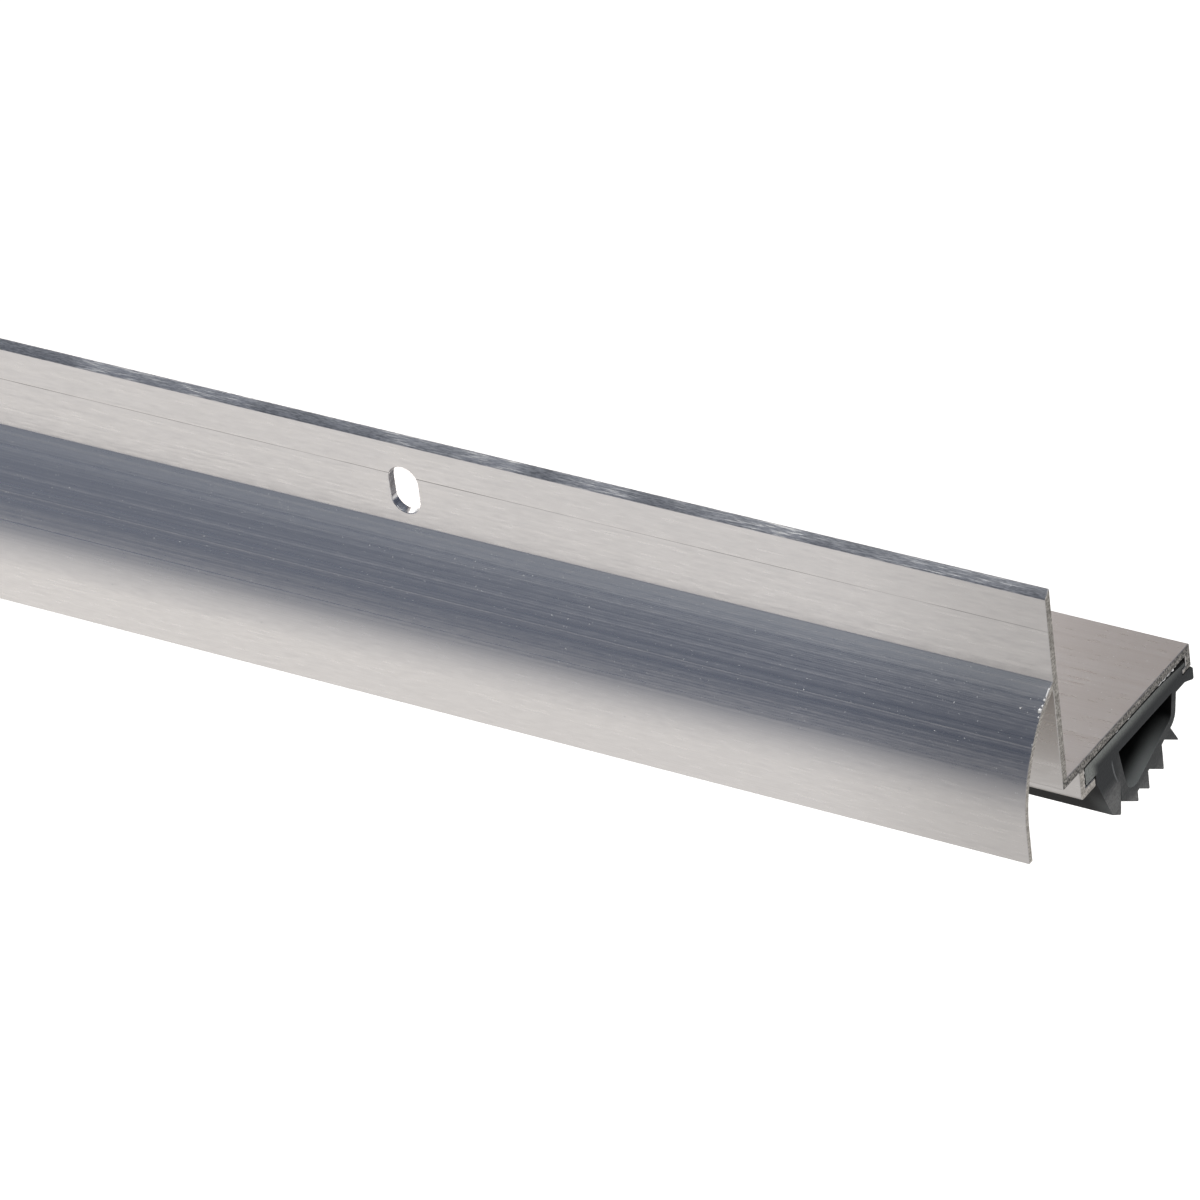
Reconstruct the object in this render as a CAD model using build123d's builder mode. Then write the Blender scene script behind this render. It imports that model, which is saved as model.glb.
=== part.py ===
from build123d import *
import math
import os

# A door bottom with a drip cap: an extruded aluminium rail and the vinyl seal that slides into it.
# The origin is the inner corner of the rail at mid length, where the door's lower edge sits.
# +X runs along the door, -Y points outdoors, +Z points up. Millimetres.

# Cut length, square at both ends
length = 914.4

# Leg against the door's outside face
leg_height = 36.5
leg_thickness = 1.6
leg_bevel = 1.3

# Flange under the door, with the rear wall that closes the seal's track
flange_depth = 41.3
flange_thickness = 1.6
rear_wall_thickness = 1.6
rear_wall_drop = 2.8
toe_reach = 1.1
toe_thickness = 0.8

# Hook that holds the front of the seal
hook_setback = 3.6
hook_thickness = 1.6
hook_drop = 5.5
lip_reach = 3.2
lip_thickness = 1.6
hook_radius = 0.8

# Drip cap: an arc that leaves the leg and ends in a plumb skirt
cap_top = 19.5
cap_reach = 12.2
cap_radius = 24.5
cap_bottom = 8.0
cap_thickness = 1.1
cap_root_radius = 1.2
cap_root_inner_radius = 0.3

# Rounding that the die leaves on the rail's corners, its bevel's sharp crest and the skirt's edge
corner_radius = 0.3
crest_radius = 0.12
skirt_radius = 0.12

# Upright screw slots
slot_width = 5.7
slot_height = 8.9
slot_below_top = 10.3
slot_end_distance = 122.0
slot_count = 4

# Seal: the tongue that slides in the track, relieved towards the rear wall
track_clearance = 0.25
relief_run = 9.5
relief_depth = 0.7

# Seal: the hollow bulb under the tongue
bulb_setback = 6.0
bulb_rear_gap = 3.3
bulb_roof = 3.75
bulb_wall = 1.6
bulb_front_drop = 14.1
bulb_rear_drop = 6.95
bulb_front_lean = 12.0
bulb_rear_lean = 12.0
bulb_front_radius = 4.5
bulb_rear_radius = 3.0

# Seal: saw teeth under the bulb, from the rear to the front
tooth_overhang = 0.65
tooth_steps = (5.55, 5.0, 3.8)
tooth_heights = (4.9, 4.9, 3.5, 2.0)
tooth_leans = (31.0, 0.0, 0.0, 0.0)
tooth_angle = 33.0
tooth_tip_radii = (0.12, 0.2, 0.2, 0.2)

# Seal: the front fin, parted from the foremost tooth by a narrow crease
fin_setback = 6.75
fin_drop = 12.2
fin_tip_width = 2.7
fin_tip_fall = 1.7
fin_radius = 0.25
crease_height = 5.15

# Seal: the tail under the rear wall, and the lip that hangs from its end
tail_thickness = 1.65
tail_overhang = 0.6
tail_lip_width = 2.9
tail_lip_drop = 1.2

# Rounding on the seal's corners
seal_radius = 0.3

# Levels and faces that the rail and the seal share, in the section's plane (Y back, Z up)
leg_front = -leg_thickness
flange_under = -flange_thickness
hook_back = hook_setback + hook_thickness
hook_under = flange_under - hook_drop
lip_top = hook_under + lip_thickness
lip_end = hook_back + lip_reach
rear_wall_front = flange_depth - rear_wall_thickness
rear_wall_under = flange_under - rear_wall_drop
toe_front = rear_wall_front - toe_reach
toe_top = rear_wall_under + toe_thickness

# Drip cap: the arc's centre puts the skirt cap_reach in front of the leg
skirt_front = leg_front - cap_reach
cap_centre_y = skirt_front + cap_radius
cap_centre_z = cap_top - math.sqrt(cap_radius**2 - (cap_centre_y - leg_front) ** 2)
cap_inner_radius = cap_radius - cap_thickness
cap_inner_top = cap_centre_z + math.sqrt(cap_inner_radius**2 - (cap_centre_y - leg_front) ** 2)


def cap_arc_start(radius):
    """Angle, in degrees, at which an arc of this radius meets the middle of the leg."""
    return math.degrees(math.acos((leg_front / 2 - cap_centre_y) / radius))


def corners_near(section, places):
    """The corners of an open sketch that lie nearest to the given places."""
    return [section.vertices().sort_by_distance(place)[0] for place in places]


# Aluminium rail: one section, extruded to length
with BuildPart() as rail:
    with BuildSketch(Plane.YZ) as rail_section:
        # Leg, bevelled towards the front along its top edge
        Polygon(
            (leg_front, flange_under),
            (0, flange_under),
            (0, leg_height),
            (leg_front, leg_height - leg_bevel),
        )
        # Flange
        Polygon(
            (leg_front, flange_under),
            (flange_depth, flange_under),
            (flange_depth, 0),
            (leg_front, 0),
        )
        # Rear wall with the toe that keeps the seal's tongue in the track
        with Locations((rear_wall_front, rear_wall_under)):
            Rectangle(
                rear_wall_thickness,
                rear_wall_drop + flange_thickness / 2,
                align=(Align.MIN, Align.MIN),
            )
        with Locations((toe_front, rear_wall_under)):
            Rectangle(
                toe_reach + rear_wall_thickness / 2,
                toe_thickness,
                align=(Align.MIN, Align.MIN),
            )
        # Front hook
        with Locations((hook_setback, hook_under)):
            Rectangle(
                hook_thickness,
                hook_drop + flange_thickness / 2,
                align=(Align.MIN, Align.MIN),
            )
            Rectangle(
                hook_thickness + lip_reach,
                lip_thickness,
                align=(Align.MIN, Align.MIN),
            )
        # Drip cap
        with BuildLine():
            centre = (cap_centre_y, cap_centre_z)
            outer_start = cap_arc_start(cap_radius)
            outer_arc = CenterArc(centre, cap_radius, outer_start, 180 - outer_start)
            inner_start = cap_arc_start(cap_inner_radius)
            inner_arc = CenterArc(centre, cap_inner_radius, inner_start, 180 - inner_start)
            Polyline(
                outer_arc @ 1,
                (skirt_front, -cap_bottom),
                (skirt_front + cap_thickness, -cap_bottom),
                inner_arc @ 1,
            )
            Line(outer_arc @ 0, inner_arc @ 0)
        make_face()

        # Root fillets where the drip cap leaves the leg
        fillet(corners_near(rail_section, [(leg_front, cap_top)]), cap_root_radius)
        fillet(corners_near(rail_section, [(leg_front, cap_inner_top)]), cap_root_inner_radius)

        # Rounded outer corners, where the die leaves no sharp edge
        fillet(corners_near(rail_section, [(0, leg_height)]), crest_radius)
        rounded = [
            (leg_front, leg_height - leg_bevel),
            (leg_front, flange_under),
            (flange_depth, 0),
            (flange_depth, rear_wall_under),
            (lip_end, hook_under),
            (lip_end, lip_top),
        ]
        fillet(corners_near(rail_section, rounded), corner_radius)
        fillet(corners_near(rail_section, [(hook_setback, hook_under)]), hook_radius)
        skirt_edge = [(skirt_front, -cap_bottom), (skirt_front + cap_thickness, -cap_bottom)]
        fillet(corners_near(rail_section, skirt_edge), skirt_radius)
    extrude(amount=length / 2, both=True)

    # Screw slots, punched through the leg
    with BuildSketch(Plane.XZ) as slots:
        slot_pitch = (length - 2 * slot_end_distance) / (slot_count - 1)
        with Locations((0, leg_height - slot_below_top)):
            with GridLocations(slot_pitch, slot_height, slot_count, 1):
                SlotOverall(slot_height, slot_width, rotation=90)
    extrude(amount=leg_thickness, mode=Mode.SUBTRACT)

# Vinyl seal: faces of the tongue, one clearance inside the track
tongue_front = hook_back + track_clearance
tongue_rear = rear_wall_front - track_clearance
tongue_top = flange_under - track_clearance
tongue_under = lip_top + track_clearance
groove_front = toe_front - track_clearance
groove_top = toe_top + track_clearance
tail_top = rear_wall_under - track_clearance
tail_under = tail_top - tail_thickness
tail_end = flange_depth + tail_overhang
fin_front = lip_end + track_clearance

# Vinyl seal: corners of the bulb's outline, before they are rounded
bulb_top = tongue_top - bulb_roof + bulb_wall
bulb_front = lip_end + bulb_setback
bulb_rear = rear_wall_front - bulb_rear_gap
front_slope = math.tan(math.radians(bulb_front_lean))
rear_slope = math.tan(math.radians(bulb_rear_lean))
bulb_front_corner = (
    bulb_front + bulb_front_drop * front_slope,
    bulb_top - bulb_front_drop,
)
bulb_rear_corner = (
    bulb_rear - bulb_rear_drop * rear_slope,
    bulb_top - bulb_rear_drop,
)
floor_slope = (bulb_rear_corner[1] - bulb_front_corner[1]) / (
    bulb_rear_corner[0] - bulb_front_corner[0]
)

# Vinyl seal: the fin's tip, and the crease's top on the bulb's front face
fin_tip = (fin_front + fin_setback, tongue_under - fin_drop)
crease_top = fin_tip[1] + crease_height
crease = (bulb_front + (bulb_top - crease_top) * front_slope, crease_top)

# Vinyl seal: the teeth's tips, each as far below the bulb's floor as the tooth is high
tip_places = [bulb_rear_corner[0] + tooth_overhang]
for step in tooth_steps:
    tip_places.append(tip_places[-1] - step)
tooth_tips = [
    (place, bulb_rear_corner[1] + (place - bulb_rear_corner[0]) * floor_slope - height)
    for place, height in zip(tip_places, tooth_heights)
]


def draw_bulb(section):
    """Draw the bulb's outline, with its two lower corners rounded, in an open sketch."""
    Polygon(
        (bulb_front, bulb_top), bulb_front_corner, bulb_rear_corner, (bulb_rear, bulb_top)
    )
    fillet(corners_near(section, [bulb_front_corner]), bulb_front_radius)
    fillet(corners_near(section, [bulb_rear_corner]), bulb_rear_radius)


def draw_tooth(tip, root_place, height, lean):
    """Draw one saw tooth: a sloping underside from its tip forward to its root, and a rear face."""
    root = tip[1] + (tip[0] - root_place) * math.tan(math.radians(tooth_angle))
    rise = height + bulb_wall
    Polygon(
        tip,
        (root_place, root),
        (root_place, max(root + bulb_wall, crease_top)),
        (tip[0] - rise * math.tan(math.radians(lean)), tip[1] + rise),
    )


# Vinyl seal: one section, extruded as long as the rail
with BuildPart() as seal:
    with BuildSketch(Plane.YZ) as seal_section:
        draw_bulb(seal_section)
        # Tongue in the track, with the groove for the toe and the tail behind it
        Polygon(
            (tongue_front, tongue_top),
            (tongue_rear - relief_run, tongue_top),
            (tongue_rear, tongue_top - relief_depth),
            (tongue_rear, groove_top),
            (groove_front, groove_top),
            (groove_front, tail_top),
            (flange_depth, tail_top),
            (tail_end, tail_top - tail_overhang),
            (tail_end, tail_under - tail_lip_drop),
            (tail_end - tail_lip_width, tail_under),
            (fin_front, tail_under),
            (fin_front, tongue_under),
            (tongue_front, tongue_under),
        )
        # Front fin, from beside the hook's lip down to its tip
        Polygon(
            (fin_front, tongue_under),
            (fin_front, hook_under),
            (fin_tip[0] - fin_tip_width, fin_tip[1] + fin_tip_fall),
            fin_tip,
            crease,
            (bulb_front + bulb_wall, bulb_top),
        )
        # Saw teeth
        root_places = tip_places[1:] + [crease[0]]
        for tip, root_place, height, lean in zip(
            tooth_tips, root_places, tooth_heights, tooth_leans
        ):
            draw_tooth(tip, root_place, height, lean)

        # Rounded tips and corners
        for tip, radius in zip(tooth_tips, tooth_tip_radii):
            fillet(corners_near(seal_section, [tip]), radius)
        fin_corners = [fin_tip, (fin_tip[0] - fin_tip_width, fin_tip[1] + fin_tip_fall)]
        fillet(corners_near(seal_section, fin_corners), fin_radius)
        rounded = [
            (tongue_front, tongue_top),
            (tongue_front, tongue_under),
            (tail_end, tail_top - tail_overhang),
            (tail_end, tail_under - tail_lip_drop),
        ]
        fillet(corners_near(seal_section, rounded), seal_radius)
    extrude(amount=length / 2, both=True)

    # Hollow of the bulb, one wall inside its outline
    with BuildSketch(Plane.YZ) as hollow:
        draw_bulb(hollow)
        offset(amount=-bulb_wall, mode=Mode.REPLACE)
    extrude(amount=length / 2, both=True, mode=Mode.SUBTRACT)

os.makedirs("parts", exist_ok=True)
rail.part.label = "aluminium_rail"
export_step(rail.part, "parts/aluminium_rail.step")
seal.part.label = "vinyl_seal"
export_step(seal.part, "parts/vinyl_seal.step")
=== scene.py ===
# Dresses the door bottom: a mill-finish aluminium rail with a drip cap, and the grey vinyl seal in its track.
# The frame's origin is the rail's inner corner at mid length. +X runs along the door, -Y points
# outdoors and +Z points up. Sizes in the classes are in millimetres, apart from the studio's, and
# meshes are made in metres.

import logging
import math
from dataclasses import dataclass
from enum import Enum
from typing import Sequence

import bmesh
import bpy
import numpy as np
from mathutils import Matrix, Vector


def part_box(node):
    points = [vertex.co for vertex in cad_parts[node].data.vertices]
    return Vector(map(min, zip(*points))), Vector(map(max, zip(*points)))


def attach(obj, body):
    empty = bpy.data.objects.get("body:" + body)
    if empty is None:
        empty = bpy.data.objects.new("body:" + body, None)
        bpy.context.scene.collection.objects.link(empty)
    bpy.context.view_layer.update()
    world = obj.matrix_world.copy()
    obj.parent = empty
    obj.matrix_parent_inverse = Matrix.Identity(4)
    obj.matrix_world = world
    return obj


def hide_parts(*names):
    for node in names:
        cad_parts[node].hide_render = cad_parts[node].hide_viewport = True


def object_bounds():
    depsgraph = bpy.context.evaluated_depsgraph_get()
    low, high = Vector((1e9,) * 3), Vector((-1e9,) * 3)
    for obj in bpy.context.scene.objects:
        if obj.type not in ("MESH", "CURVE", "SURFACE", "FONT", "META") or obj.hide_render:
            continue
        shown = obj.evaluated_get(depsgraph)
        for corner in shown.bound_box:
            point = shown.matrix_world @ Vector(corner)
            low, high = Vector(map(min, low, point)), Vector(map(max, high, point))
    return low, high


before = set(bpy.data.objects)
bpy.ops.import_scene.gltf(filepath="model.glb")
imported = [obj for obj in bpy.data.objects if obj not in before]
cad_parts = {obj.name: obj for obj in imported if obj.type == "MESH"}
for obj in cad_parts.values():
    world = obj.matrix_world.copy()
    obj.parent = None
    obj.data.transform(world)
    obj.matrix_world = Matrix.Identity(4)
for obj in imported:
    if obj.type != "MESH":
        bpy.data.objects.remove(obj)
CAD_LOW, CAD_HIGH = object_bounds()

MM = 0.001
BODY = "root"
SHARP_ANGLE = math.radians(32)
# A corner whose half is wider than this counts as straight, and isn't rounded
FLAT_HALF = math.radians(89.5)

log = logging.getLogger("door_bottom")

# A place on the section as Y and Z, and a corner as its place and radius
Point = tuple[float, float]
Corner = tuple[float, float, float]
# A pattern's size along X, Y and Z, and two values or places that something runs between
Size = tuple[float, float, float]
Span = tuple[float, float]


def linear(colour: str) -> tuple[float, float, float, float]:
    """Turns an sRGB hex colour to linear light.

    Args:
        colour: Six hex digits after a hash, such as "#cfcac6".

    Returns:
        Red, green, blue and an alpha of 1, each from 0 to 1.
    """
    parts = [int(colour[i : i + 2], 16) / 255 for i in (1, 3, 5)]
    light = [c / 12.92 if c <= 0.04045 else ((c + 0.055) / 1.055) ** 2.4 for c in parts]
    return (light[0], light[1], light[2], 1.0)


def add_node(
    tree: bpy.types.NodeTree,
    kind: str,
    sockets: dict[str | int, object] | Sequence[object] = (),
    output: str | int = 0,
    **settings: object,
) -> bpy.types.NodeSocket | None:
    """Adds one node with its settings and links.

    Args:
        tree: The node tree that gets the node.
        kind: The node's type name, without its first word ShaderNode.
        sockets: A constant, or the output socket that feeds it, for each input: by the input's name
            or number, or as a sequence for the first inputs in order.
        output: The output that is given back.
        **settings: Attributes of the node, set first because they can change its sockets.

    Returns:
        The chosen output, or None where the node has no output.
    """
    node = tree.nodes.new("ShaderNode" + kind)
    for name, value in settings.items():
        setattr(node, name, value)
    given = sockets if isinstance(sockets, dict) else dict(enumerate(sockets))
    for key, value in given.items():
        if isinstance(value, bpy.types.NodeSocket):
            tree.links.new(value, node.inputs[key])
        else:
            node.inputs[key].default_value = value
    return node.outputs[output] if node.outputs else None


def new_material(name: str) -> tuple[bpy.types.Material, bpy.types.NodeTree]:
    """Makes an empty node material.

    Args:
        name: The material's name.

    Returns:
        The material and its node tree.
    """
    material = bpy.data.materials.new(name)
    material.use_nodes = True
    material.node_tree.nodes.clear()
    return material, material.node_tree


def mottle(
    tree: bpy.types.NodeTree, size: Sequence[float], detail: float = 2.0, shift: float = 0.0
) -> bpy.types.NodeSocket:
    """Adds a random pattern whose patches have a real size along X, Y and Z.

    Args:
        tree: The node tree.
        size: The patches' size in millimetres along each axis.
        detail: Octaves of finer pattern on top.
        shift: How far the pattern is moved, in patches, so that two patterns differ.

    Returns:
        The pattern's value, about 0.3 to 0.7.
    """
    place = add_node(tree, "TexCoord", output="Object")
    scale = tuple(1 / (side * MM) for side in size)
    moved = add_node(tree, "Mapping", {"Vector": place, "Scale": scale, "Location": (shift, shift, shift)})
    return add_node(tree, "TexNoise", {"Vector": moved, "Scale": 1.0, "Detail": detail, "Roughness": 0.55})


def along(tree: bpy.types.NodeTree, axis: str) -> bpy.types.NodeSocket:
    """Adds the place along an axis, in metres."""
    return add_node(tree, "SeparateXYZ", (add_node(tree, "TexCoord", output="Object"),), output=axis)


def fade(tree: bpy.types.NodeTree, axis: str, start: float, end: float) -> bpy.types.NodeSocket:
    """Adds a value that rises softly from 0 to 1 between two places along an axis.

    Args:
        tree: The node tree.
        axis: The axis' letter.
        start: Where the value is 0, in millimetres.
        end: Where it is 1, in millimetres, before or after the start.

    Returns:
        The value.
    """
    low, high = sorted((start * MM, end * MM))
    rise = add_node(tree, "MapRange", (along(tree, axis), low, high), interpolation_type="SMOOTHSTEP")
    if start < end:
        return rise
    return add_node(tree, "Math", (1.0, rise), operation="SUBTRACT")


def at_ends(tree: bpy.types.NodeTree, reach: float) -> bpy.types.NodeSocket:
    """Adds a value that rises softly from 0 to 1 towards both of the rail's ends.

    Args:
        tree: The node tree.
        reach: How far from each end the rise starts, in millimetres.

    Returns:
        The value.
    """
    far = CAD_HIGH.x / MM
    right, left = fade(tree, "X", far - reach, far), fade(tree, "X", reach - far, -far)
    return add_node(tree, "Math", (right, left), operation="ADD")


def stripe(tree: bpy.types.NodeTree, level: float, width: float) -> bpy.types.NodeSocket:
    """Adds a value that is 1 on a thin line along X, and 0 elsewhere.

    Args:
        tree: The node tree.
        level: The line's height, in millimetres.
        width: Its width, in millimetres.

    Returns:
        The value.
    """
    return add_node(tree, "Math", (along(tree, "Z"), level * MM, width / 2 * MM), operation="COMPARE")


def layered(
    tree: bpy.types.NodeTree, base: str, layers: Sequence[tuple[bpy.types.NodeSocket, str]]
) -> bpy.types.NodeSocket:
    """Lays colours over each other, the last one on top.

    Args:
        tree: The node tree.
        base: The lowest colour, in sRGB hex.
        layers: How much of each further colour shows, from 0 to 1, and the colour in sRGB hex.

    Returns:
        The colour that they make.
    """
    colour = linear(base)
    for share, over in layers:
        colour = add_node(tree, "Mix", {0: share, 6: colour, 7: linear(over)}, output=2, data_type="RGBA")
    return colour


def shade(
    tree: bpy.types.NodeTree, sockets: dict[str, object], relief: Sequence[tuple[object, float]]
) -> None:
    """Ends a material with its relief, its surface and its output.

    Args:
        tree: The node tree.
        sockets: The surface's inputs.
        relief: Heights from 0 to 1, each with its real height in millimetres.
    """
    normal = None
    for height, real in relief:
        bump = {"Height": height, "Distance": real * MM, "Strength": 1.0}
        if normal is not None:
            bump["Normal"] = normal
        normal = add_node(tree, "Bump", bump)
    surface = add_node(tree, "BsdfPrincipled", {**sockets, "Normal": normal})
    add_node(tree, "OutputMaterial", (surface,))


@dataclass(frozen=True)
class MillAluminium:
    """Extruded aluminium in mill finish: the die draws fine lines along the whole length.

    The eye sees a soft, warm grey mirror with hair-fine streaks along X. A few broader lines on the
    drip cap are rougher or smoother than the metal beside them. The colour is painted darker towards
    both ends, which is painted shade, and a few specks of dust lie about.
    """

    name: str = "aluminium_extruded_mill_finish"
    bright: str = "#e6e1dd"
    dull: str = "#dfdad6"
    scored: str = "#8a8683"
    # A darker tone, laid towards both ends as painted shade
    end_shade: str = "#a39e99"
    dust: str = "#f0f0f0"
    smooth: float = 0.3
    rough: float = 0.42
    # Die lines are about 0.02 mm apart; drawn ten times coarser, so that they show
    line_size: Size = (180.0, 0.17, 0.17)
    line_height: float = 0.002
    band_size: Size = (900.0, 0.7, 0.7)
    band_height: float = 0.002
    band_share: float = 0.4
    # Where lines and bands together are dull, and where bright
    drawn_span: Span = (0.58, 0.82)
    rub_size: Size = (3.0, 0.45, 0.45)
    rub_span: Span = (0.3, 0.7)
    # How much smoother or rougher the rubbed patches are
    rub_change: Span = (-0.05, 0.05)
    dust_size: Size = (0.26, 0.26, 0.26)
    dust_span: Span = (0.825, 0.85)
    # One scored line runs along the leg, fainter in places, and the slots cut it
    score_level: float = 29.05
    score_width: float = 0.13
    score_patch: Size = (30.0, 1.0, 1.0)
    score_span: Span = (0.35, 0.6)
    score_least: float = 0.25
    # Lines along the drip cap: each one's height, and how much rougher it is than the metal beside it
    die_lines: tuple[tuple[float, float], ...] = (
        (18.8, 0.07),
        (18.0, 0.07),
        (17.5, -0.08),
        (16.8, 0.06),
        (14.4, 0.07),
        (13.0, -0.12),
        (11.9, 0.14),
        (11.0, -0.1),
        (9.5, 0.08),
        (7.6, -0.1),
    )
    die_line_width: float = 0.2
    # Painted shade: the metal darkens towards both ends, from this far in and by this share
    end_shade_reach: float = 45.0
    end_shade_share: float = 0.42

    def build(self) -> bpy.types.Material:
        """Builds the material."""
        material, tree = new_material(self.name)
        lines = mottle(tree, self.line_size)
        bands = mottle(tree, self.band_size, shift=5.0)
        drawn = add_node(tree, "Math", (bands, self.band_share, lines), operation="MULTIPLY_ADD")
        drawn = add_node(tree, "MapRange", (drawn, *self.drawn_span))
        rubbed = mottle(tree, self.rub_size, 4.0, 9.0)
        rubbed = add_node(tree, "MapRange", (rubbed, *self.rub_span, *self.rub_change))
        dusty = mottle(tree, self.dust_size, 0.0, 7.0)
        dusty = add_node(tree, "MapRange", (dusty, *self.dust_span))

        coarse = add_node(tree, "MapRange", {0: drawn, 3: self.smooth, 4: self.rough})
        coarse = add_node(tree, "Math", (coarse, rubbed), operation="ADD")
        for level, rougher in self.die_lines:
            line = stripe(tree, level, self.die_line_width)
            coarse = add_node(tree, "Math", (line, rougher, coarse), operation="MULTIPLY_ADD")

        scored = mottle(tree, self.score_patch)
        scored = add_node(tree, "MapRange", (scored, *self.score_span, self.score_least, 1.0))
        score = stripe(tree, self.score_level, self.score_width)
        scored = add_node(tree, "Math", (score, scored), operation="MULTIPLY")
        # Painted shade: darker towards both of the rail's ends
        end_shade = at_ends(tree, self.end_shade_reach)
        end_shade = add_node(tree, "Math", (end_shade, self.end_shade_share), operation="MULTIPLY")
        layers = ((drawn, self.bright), (end_shade, self.end_shade), (scored, self.scored), (dusty, self.dust))
        colour = layered(tree, self.dull, layers)
        bare = add_node(tree, "Math", (1.0, dusty), operation="SUBTRACT")
        sockets = {"Base Color": colour, "Metallic": bare, "Roughness": coarse}
        shade(tree, sockets, [(lines, self.line_height), (bands, self.band_height)])
        return material


@dataclass(frozen=True)
class ScrapedAluminium:
    """The leg's bevelled top edge, which the die scrapes and handling dings.

    The eye sees a duller strip, finely grained along X, with nicks in clusters. The nicks are real dings;
    their near-white colour, and the brighter grain where they cluster, are painted glints.
    """

    name: str = "aluminium_bevel_scraped"
    bright: str = "#e6e1dd"
    dull: str = "#989593"
    # The nicks' near-white, a painted glint on real dings
    nick_glint: str = "#fffdf8"
    grain_size: Size = (1.1, 0.16, 0.16)
    grain_span: Span = (0.36, 0.64)
    grain_shares: Span = (0.1, 0.7)
    nick_size: Size = (4.0, 0.16, 0.16)
    nick_span: Span = (0.52, 0.68)
    cluster_size: Size = (18.0, 18.0, 18.0)
    cluster_span: Span = (0.4, 0.6)
    cluster_least: float = 0.05
    # How much brighter the grain is where the nicks cluster, a painted glint
    cluster_share: float = 0.5
    smooth: float = 0.4
    rough: float = 0.95
    grain_height: float = 0.012
    nick_height: float = 0.02

    def build(self) -> bpy.types.Material:
        """Builds the material."""
        material, tree = new_material(self.name)
        grain = mottle(tree, self.grain_size)
        nicks = mottle(tree, self.nick_size, shift=4.0)
        clusters = mottle(tree, self.cluster_size, 1.0, 11.0)
        clusters = add_node(tree, "MapRange", (clusters, *self.cluster_span, self.cluster_least, 1.0))
        # Painted glints: the nicks, and the grain where they cluster, are laid in near-white
        cut = add_node(tree, "MapRange", (nicks, *self.nick_span))
        cut = add_node(tree, "Math", (cut, clusters), operation="MULTIPLY")
        share = add_node(tree, "MapRange", (grain, *self.grain_span, *self.grain_shares))
        share = add_node(tree, "Math", (clusters, self.cluster_share, share), operation="MULTIPLY_ADD")
        colour = layered(tree, self.dull, ((share, self.bright), (cut, self.nick_glint)))
        coarse = add_node(tree, "MapRange", {0: cut, 3: self.smooth, 4: self.rough})
        sockets = {"Base Color": colour, "Metallic": 1.0, "Roughness": coarse}
        shade(tree, sockets, [(grain, self.grain_height), (nicks, self.nick_height)])
        return material


@dataclass(frozen=True)
class SawnAluminium:
    """The rail's ends, cut with a fine-toothed saw.

    The eye sees a dull olive grey, scratched across by the blade, with brighter torn grains. Vinyl
    dust from the blade darkens the flange's edge and the rear wall's, and the leg's a little.
    """

    name: str = "aluminium_saw_cut"
    bright: str = "#ddd6cc"
    dull: str = "#969087"
    sooty: str = "#3e3d3b"
    mark_size: Size = (0.5, 2.2, 0.16)
    grain_size: Size = (0.35, 0.35, 0.35)
    # Where marks and grain together are dull, and where bright
    torn_span: Span = (0.16, 0.4)
    speck_span: Span = (0.35, 0.6)
    speck_shares: Span = (1.0, 0.35)
    # Full dust lies below these heights, and the least of it above
    dust_levels: Span = (0.6, -0.2)
    dust_least: float = 0.4
    # Below these heights only the rear wall has dust, and in front of these places there is none
    clean_levels: Span = (-2.2, -1.6)
    rear_places: Span = (38.6, 39.6)
    clean_places: Span = (-2.2, -1.6)
    roughness: float = 0.5
    mark_height: float = 0.03

    def build(self) -> bpy.types.Material:
        """Builds the material."""
        material, tree = new_material(self.name)
        marks = mottle(tree, self.mark_size, 3.0)
        grain = mottle(tree, self.grain_size, 3.0, 4.0)
        share = add_node(tree, "Math", (marks, grain), operation="MULTIPLY")
        share = add_node(tree, "MapRange", (share, *self.torn_span))
        speckled = add_node(tree, "MapRange", (grain, *self.speck_span, *self.speck_shares))
        lower = fade(tree, "Z", *self.dust_levels)
        dusty = add_node(tree, "MapRange", {0: lower, 3: self.dust_least, 4: 1.0})
        above, rear = fade(tree, "Z", *self.clean_levels), fade(tree, "Y", *self.rear_places)
        reached = add_node(tree, "Math", (above, rear), operation="MAXIMUM")
        for part in (speckled, reached, fade(tree, "Y", *self.clean_places)):
            dusty = add_node(tree, "Math", (dusty, part), operation="MULTIPLY")
        colour = layered(tree, self.dull, ((share, self.bright), (dusty, self.sooty)))
        sockets = {"Base Color": colour, "Metallic": 1.0, "Roughness": self.roughness}
        shade(tree, sockets, [(marks, self.mark_height), (grain, self.mark_height)])
        return material


@dataclass(frozen=True)
class TornAluminium:
    """Aluminium that a tool has torn, with a grain of bright and dull patches.

    Its values are those of the slots' walls, burnished by the punch at the mouth and torn further
    in: the eye sees a bright rounded rim and a streaked wall.
    """

    name: str = "aluminium_punched_wall"
    bright: str = "#f4f1ee"
    dull: str = "#cbc6c1"
    grain_size: Size = (0.3, 2.5, 0.3)
    grain_span: Span = (0.35, 0.65)
    grain_height: float = 0.01
    metallic: float = 1.0
    roughness: float = 0.24

    def build(self) -> bpy.types.Material:
        """Builds the material."""
        material, tree = new_material(self.name)
        grain = mottle(tree, self.grain_size)
        share = add_node(tree, "MapRange", (grain, *self.grain_span))
        colour = layered(tree, self.dull, ((share, self.bright),))
        sockets = {"Base Color": colour, "Metallic": self.metallic, "Roughness": self.roughness}
        shade(tree, sockets, [(grain, self.grain_height)])
        return material


# Curls that the saw left on the edges, just cut. Their near-white, mostly non-metal colour is a painted glint
FRESH_SWARF_GLINT = TornAluminium(
    name="aluminium_fresh_swarf_glint",
    bright="#ffffff",
    dull="#dddcda",
    grain_size=(0.15, 0.15, 0.15),
    grain_height=0.02,
    metallic=0.25,
    roughness=0.5,
)


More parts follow.
